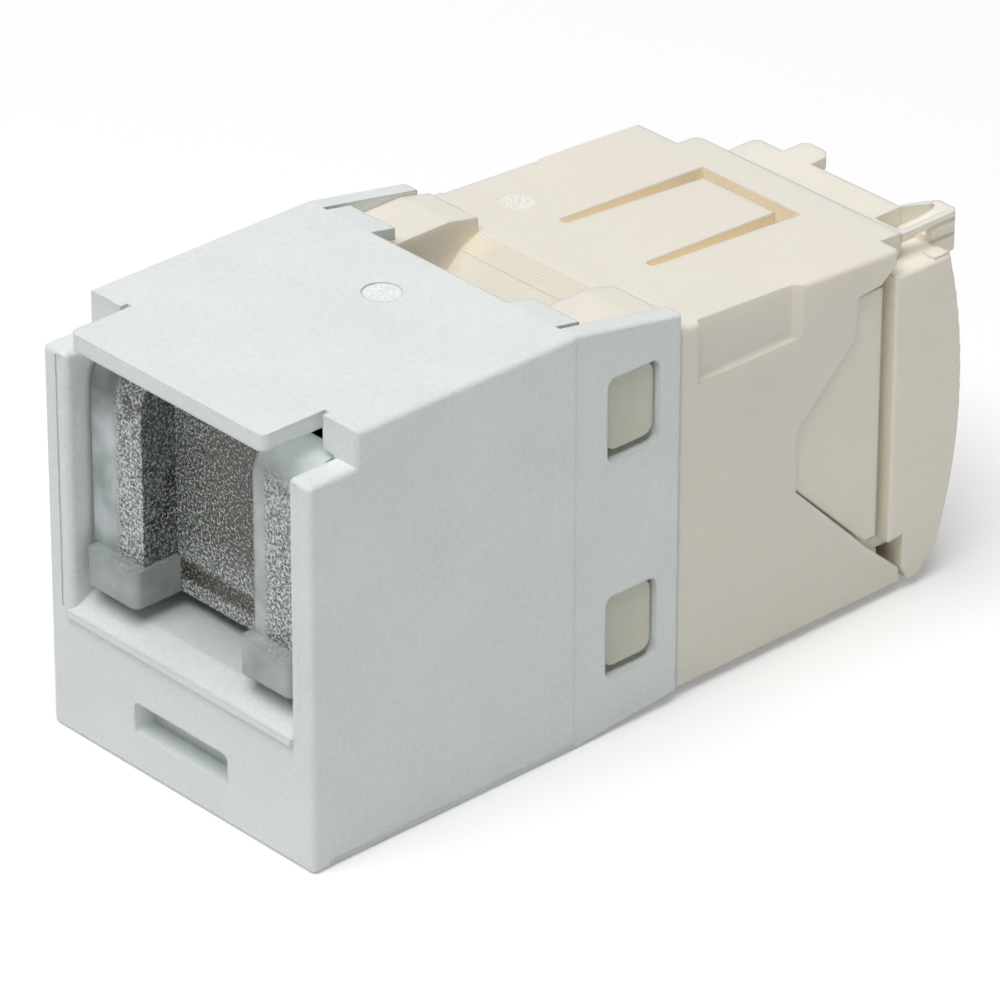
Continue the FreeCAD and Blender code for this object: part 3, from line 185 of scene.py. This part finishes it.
def speckled_mark(finish, color, mark):
    """Bright specks on upward faces within a round ejector mark at (x, y, radius)."""
    *middle, radius = mark
    squares = [finish.math("POWER", finish.math("SUBTRACT", value, centre), 2.0)
               for value, centre in zip(finish.split(finish.place()), middle)]
    reach = finish.math("SQRT", finish.math("ADD", *squares))
    upward = finish.fade(finish.split(finish.facing())[2], 0.8, 0.9)
    inside = finish.product(finish.fade(reach, radius, 0.8 * radius), upward)
    specks = finish.fade(finish.noise(SPECKS), 0.44, 0.66)
    bright = finish.ramp(specks, (0, (0.95, 0.95, 0.93)), (1, (0.97, 0.97, 0.96)))
    return finish.mix(finish.product(inside, specks), color, bright)


def paint_boss_shade(finish, color):
    """Painted shade on the flat faces of the snap bosses in the side windows, darkest at their front edge."""
    x, y, _ = finish.split(finish.place())
    on_boss = finish.product(finish.fade(finish.math("ABSOLUTE", x), BOSS_SIDE - 0.2 * MM, BOSS_SIDE),
                             finish.fade(y, BOSS_REAR + 0.08 * MM, BOSS_REAR))
    boss_shade = finish.ramp(finish.fade(y, BOSS_FRONT, BOSS_REAR), (0.1, (0.56, 0.565, 0.47)),
                       (0.6, (0.6, 0.6, 0.5)), (0.95, (0.68, 0.66, 0.565)))
    return finish.mix(on_boss, color, boss_shade)


def translucency_and_painted_glow(finish):
    """Light spreading inside pale plastic, and a painted warm glow deep in the roof's slot."""
    strength = 0.32
    x, y, z = finish.split(finish.place())
    openness = finish.add("ShaderNodeAmbientOcclusion", {"Distance": 1.6 * MM}, samples=4)["AO"]
    # Painted warm glow in the deep hollows of the slot.
    painted_slot_glow = finish.product(finish.fade(openness, 0.75, 0.15),
                                finish.fade(z, SLOT_BOTTOM, SLOT_BOTTOM + 1.5 * MM),
                                finish.fade(y, SLOT_REAR + 0.4 * MM, SLOT_REAR),
                                finish.fade(x, SLOT_SIDE + 0.4 * MM, SLOT_SIDE), strength)
    finish.surface({
        "Subsurface Weight": 0.35,
        "Subsurface Radius": (1.0, 0.72, 0.42),
        "Subsurface Scale": 1.2 * MM,
        "Emission Color": (1.0, 0.7, 0.36, 1),
        "Emission Strength": painted_slot_glow,
    })


def moulded_plastic(name, color, roughness=0.42, mottle=0.02, grain=FINE_GRAIN, mark=None, bosses=False,
                    translucent_with_painted_glow=False):
    """Satin injection-moulded plastic: nearly even colour, faint mottling, very fine grain, soft edges."""
    finish = Finish(name)
    grain_scale, grain_depth = grain
    pebbles = finish.noise(grain_scale)
    clouds = finish.noise(CLOUDS, detail=3)
    cover = finish.math("ADD", finish.product(clouds, 0.4), finish.product(pebbles, 0.6))
    dark, light = (tuple(channel * share for channel in color) for share in (1 - mottle, 1 + mottle))
    tint = finish.ramp(cover, (0.38, dark), (0.62, light))
    if mark:
        tint = speckled_mark(finish, tint, mark)
    # Painted shade on the snap bosses.
    if bosses:
        tint = paint_boss_shade(finish, tint)
    # Light spreading inside the plastic, and a painted warm glow in the roof's slot.
    if translucent_with_painted_glow:
        translucency_and_painted_glow(finish)
    finish.surface({
        "Base Color": tint,
        "Normal": finish.bump(pebbles, grain_depth, finish.soft_edges()),
        "Roughness": roughness,
        "IOR": 1.49,
    })
    return finish.material


def metal(name, color, roughness):
    finish = Finish(name)
    grain_scale, grain_depth = METAL_GRAIN
    finish.surface({
        "Base Color": (*color, 1),
        "Normal": finish.bump(finish.noise(grain_scale), grain_depth),
        "Metallic": 1.0,
        "Roughness": roughness,
    })
    return finish.material


# ---------------------------------------------------------------- clear shutter


def clear_plastic(name):
    """Clear polycarbonate door: glittering pebbled panel and cheeks, smooth bands and hubs, milky feet.

    Its light and dark zones are painted: they stand for glints and for what shows through it, and are fixed
    to the door.
    """
    finish = Finish(name)
    fade, band, product, mix = finish.fade, finish.band, finish.product, finish.mix
    x, y, z = finish.split(finish.place())
    pebbles = finish.math("ADD", product(finish.noise(PEBBLES), 0.62),
                          product(finish.noise(FINE_PEBBLES, detail=1), 0.38))
    blotches = finish.noise(BLOTCHES)
    patches = finish.noise(PATCHES)

    def pebbled(tone):
        return finish.ramp(pebbles, *tone)

    def blotched(tone):
        return finish.ramp(blotches, *tone)

    def above_feet(low, high):
        """0 at low and 1 at high, both in millimetres above the tops of the feet."""
        return fade(z, FOOT_TOP + low * MM, FOOT_TOP + high * MM)

    # Panel: dusky to the right, frosted at the upper left and along the bottom, brown at the lower edge.
    frosted = pebbled(FROSTED)
    color = mix(fade(x, -1.6 * MM, 0.6 * MM), pebbled(SPARKLING), pebbled(DUSKY))
    upper = finish.math("ADD", product(above_feet(5.0, 6.6), 0.6), 0.3)
    upper_left = product(fade(x, -1.0 * MM, -2.6 * MM), upper)
    color = mix(product(finish.largest(upper_left, above_feet(1.9, 0.2)), 0.8), color, frosted)
    lower_edge = band(z, FOOT_TOP - 1.0 * MM, FOOT_TOP - 0.1 * MM, 0.15 * MM)
    color = mix(lower_edge, color, pebbled(BROWN))

    # Cheeks: frosted, with a smooth band down each one and a smooth hub on the right one.
    cheeks = fade(finish.math("ABSOLUTE", x), CHEEK_INNER + 0.02 * MM, CHEEK_INNER + 0.1 * MM)
    color = mix(cheeks, color, frosted)
    left_band = fade(x, -CHEEK_INNER - 1.4 * MM, -CHEEK_INNER - 1.75 * MM)
    right_band = band(x, CHEEK_INNER, CHEEK_INNER + 0.75 * MM, 0.2 * MM)
    right_hub = product(fade(x, CHEEK_INNER, CHEEK_INNER + 0.1 * MM), above_feet(7.2, 8.0))
    smooth_parts = finish.largest(left_band, right_band, right_hub)
    color = mix(smooth_parts, color, blotched(SMOOTH))

    # Left hub: painted dark of what shows through it, brownish on the band, with black patches on the rest of
    # the cheek.
    black = pebbled(BLACK)
    hub_height = above_feet(5.6, 7.4)
    color = mix(product(left_band, hub_height, 0.7), color, blotched(DARK_SEEN_THROUGH))
    left_cheek = fade(x, -CHEEK_INNER, -CHEEK_INNER - 0.1 * MM)
    beside_band = product(finish.math("SUBTRACT", left_cheek, left_band), hub_height)
    color = mix(product(beside_band, fade(patches, 0.5, 0.58)), color, black)

    # Faces that look sideways: painted shade, with painted black patches at mid height.
    sideways = fade(finish.math("ABSOLUTE", finish.split(finish.facing())[0]), 0.4, 0.6)
    color = mix(sideways, color, pebbled(SHADED))
    mid_height = band(z, FOOT_TOP + 1.5 * MM, FOOT_TOP + 4.5 * MM, 0.4 * MM)
    color = mix(product(sideways, fade(patches, 0.52, 0.62), mid_height), color, black)

    # Feet: milky, and all that stands this low in front of the panel.
    feet = product(above_feet(0.08, -0.02), fade(y, PANEL_FRONT - 0.02 * MM, PANEL_FRONT - 0.08 * MM))
    color = mix(feet, color, blotched(MILKY))

    # The smooth parts and the feet keep little of the pebbles. A painted glow on the top of the right hub
    # stands for light coming through it.
    pebble_share = finish.math("SUBTRACT", product(finish.largest(smooth_parts, feet), -0.92), -1.0)
    finish.surface({
        "Base Color": color,
        "Normal": finish.bump(product(pebbles, pebble_share), 0.05 * MM, finish.soft_edges()),
        "Emission Color": (0.86, 0.93, 0.91, 1),
        "Emission Strength": product(right_hub, above_feet(7.6, 8.6), 0.2),
        "Transmission Weight": 0.25,
        "Roughness": 0.2,
        "IOR": 1.58,
    })
    return finish.material


# ---------------------------------------------------------------- materials on the pieces


def dress(material, *names):
    """Give CAD nodes a material."""
    for name in names:
        piece = nodes[name]
        piece.data.materials.clear()
        piece.data.materials.append(material)


dress(moulded_plastic("white_moulding", (0.75, 0.797, 0.783), mottle=0.04, grain=LEATHERY_GRAIN,
                      mark=WHITE_MARK), "front_housing")
dress(moulded_plastic("cream_moulding", (0.81, 0.775, 0.675), mark=CREAM_MARK, bosses=True, translucent_with_painted_glow=True),
      "rear_housing", "idc_block")
dress(moulded_plastic("cap_moulding", (0.858, 0.818, 0.706), translucent_with_painted_glow=True), "wire_cap")
dress(moulded_plastic("black_moulding", (0.02, 0.02, 0.021), roughness=0.4), "contact_carrier")
dress(moulded_plastic("board_laminate", (0.03, 0.16, 0.07), roughness=0.3), "circuit_board")
dress(clear_plastic("clear_moulding"), "shutter")
dress(metal("spring_wire", (0.55, 0.55, 0.56), roughness=0.3), "shutter_spring_left", "shutter_spring_right")
dress(metal("gold_plate", (0.83, 0.62, 0.26), roughness=0.25), *CONTACTS)
dress(metal("tin_plate", (0.7, 0.7, 0.68), roughness=0.35), *BLADES)

# ---------------------------------------------------------------- camera

# A pinhole camera, fitted to the outline of the jack with one lower front corner as the fixed point.
AZIMUTH, ELEVATION, ROLL = math.radians(47.29), math.radians(29.475), math.radians(0.16)
FIT_POINT = Vector((-8.25 * MM, -18.75 * MM, 0))
SIDE_STEP, RISE, CAMERA_DISTANCE = 18.709 * MM, 9.255 * MM, 312.18 * MM
SENSOR_WIDTH, FOCAL_LENGTH = 36, 267.84
NEAREST, FARTHEST = 0.01, 10

scene = bpy.context.scene
scene.view_settings.view_transform = "Standard"


def outward(azimuth, elevation):
    """Unit vector away from the jack, with azimuth turning from its front to its right."""
    return Vector((math.sin(azimuth) * math.cos(elevation), -math.cos(azimuth) * math.cos(elevation),
                   math.sin(elevation)))


def fitted_camera():
    level = Vector((math.cos(AZIMUTH), math.sin(AZIMUTH), 0))
    back = outward(AZIMUTH, ELEVATION)
    upright = back.cross(level)
    right = level * math.cos(ROLL) + upright * math.sin(ROLL)
    up = upright * math.cos(ROLL) - level * math.sin(ROLL)
    data = bpy.data.cameras.new("camera")
    data.sensor_width = SENSOR_WIDTH
    data.lens = FOCAL_LENGTH
    data.clip_start, data.clip_end = NEAREST, FARTHEST
    camera = bpy.data.objects.new("camera", data)
    scene.collection.objects.link(camera)
    turn = Matrix((right, up, back)).transposed()
    place = FIT_POINT + SIDE_STEP * right + RISE * up + CAMERA_DISTANCE * back
    camera.matrix_world = Matrix.Translation(place) @ turn.to_4x4()
    scene.camera = camera


# ---------------------------------------------------------------- studio

LAMP_TARGET = Vector((0, 0, 0.01))  # the middle of the jack
FLOOR_GAP = 0.02 * MM  # keeps the floor clear of the jack's underside


def studio_world(level, tint):
    """Even pale surroundings; rays from the camera, glossy and clear surfaces see plain white."""
    scene.world = bpy.data.worlds.new("studio")
    sky = Shading(scene.world, "ShaderNodeOutputWorld")
    lit = sky.add("ShaderNodeBackground", {"Color": (*tint, 1), "Strength": level})["Background"]
    seen = sky.add("ShaderNodeBackground", {"Color": (1, 1, 1, 1)})["Background"]
    both = sky.add("ShaderNodeMixShader", {"Fac": sky.seen_directly(), 1: lit, 2: seen})["Shader"]
    sky.feed(sky.output, {"Surface": both})


def area_light(name, azimuth, elevation, distance, size, power, color):
    """Soft square lamp aimed at the middle of the jack; angles in degrees."""
    data = bpy.data.lights.new(name, "AREA")
    data.size = size
    data.energy = power
    data.color = color
    lamp = bpy.data.objects.new(name, data)
    scene.collection.objects.link(lamp)
    aim = outward(math.radians(azimuth), math.radians(elevation))
    lamp.location = LAMP_TARGET + distance * aim
    lamp.rotation_euler = aim.to_track_quat("Z", "Y").to_euler()


def pale_floor(size):
    """White sheet under the jack, seen as plain white apart from the contact shadow.

    What is seen of it glows a little, and more at a distance, where less of the lamp's light falls.
    """
    near, far = 0.1, 0.7
    near_glow, added_far_glow = 0.2, 0.65
    bpy.ops.mesh.primitive_plane_add(size=size, location=(0, 0, -FLOOR_GAP))
    floor = bpy.context.object
    floor.name = "floor"
    sheet = Finish("floor_sheet")
    reach = sheet.add("ShaderNodeVectorMath", {0: sheet.place()}, operation="LENGTH")["Value"]
    glow = sheet.math("ADD", sheet.product(sheet.fade(reach, near, far), added_far_glow), near_glow)
    sheet.surface({
        "Base Color": (0.86, 0.86, 0.86, 1),
        "Roughness": 0.9,
        "Emission Color": (1, 1, 1, 1),
        "Emission Strength": sheet.product(sheet.seen_directly(), glow),
    })
    floor.data.materials.append(sheet.material)


fitted_camera()
studio_world(level=0.145, tint=(0.93, 1.02, 1.08))
area_light("top_lamp", azimuth=10, elevation=72, distance=0.6, size=0.5, power=3.85, color=(1, 0.97, 0.965))
pale_floor(size=6.0)
